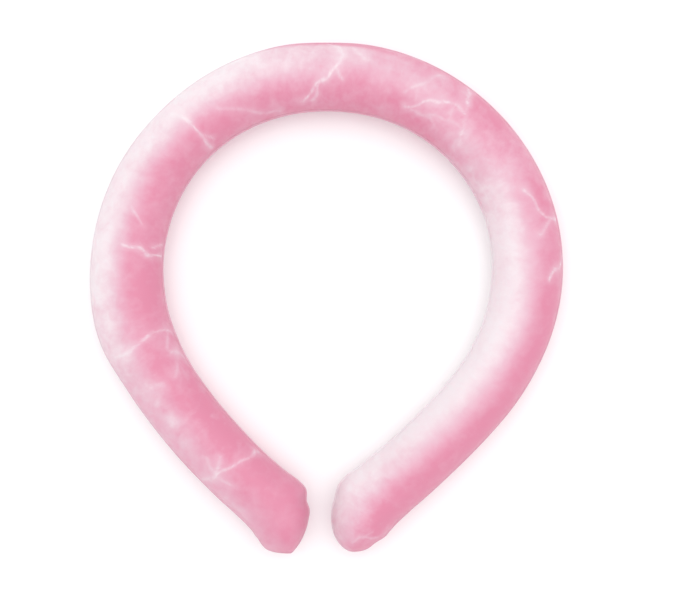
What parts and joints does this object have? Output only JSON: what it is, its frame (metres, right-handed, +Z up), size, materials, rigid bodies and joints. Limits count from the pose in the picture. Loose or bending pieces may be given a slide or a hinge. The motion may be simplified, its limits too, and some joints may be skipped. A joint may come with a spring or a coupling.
{
  "type": "cooling neck ring",
  "caption": "C-shaped soft tube filled with frozen gel, worn round the neck and open at the throat.",
  "frame": {"origin": "on the floor, below the middle of the ring's outline", "axes": "+Z up, at right angles to the ring; +Y towards the nape; -Y towards the open throat; +X across the neck"},
  "size_m": [0.1764, 0.1908, 0.0236],
  "materials": {
    "film": "matte translucent pink soft film",
    "gel": "frozen gel, marbled pink and white"
  },
  "bodies": {
    "root": {"upper_film": "film", "lower_film": "film", "gel_core": "gel"}
  },
  "joints": []
}
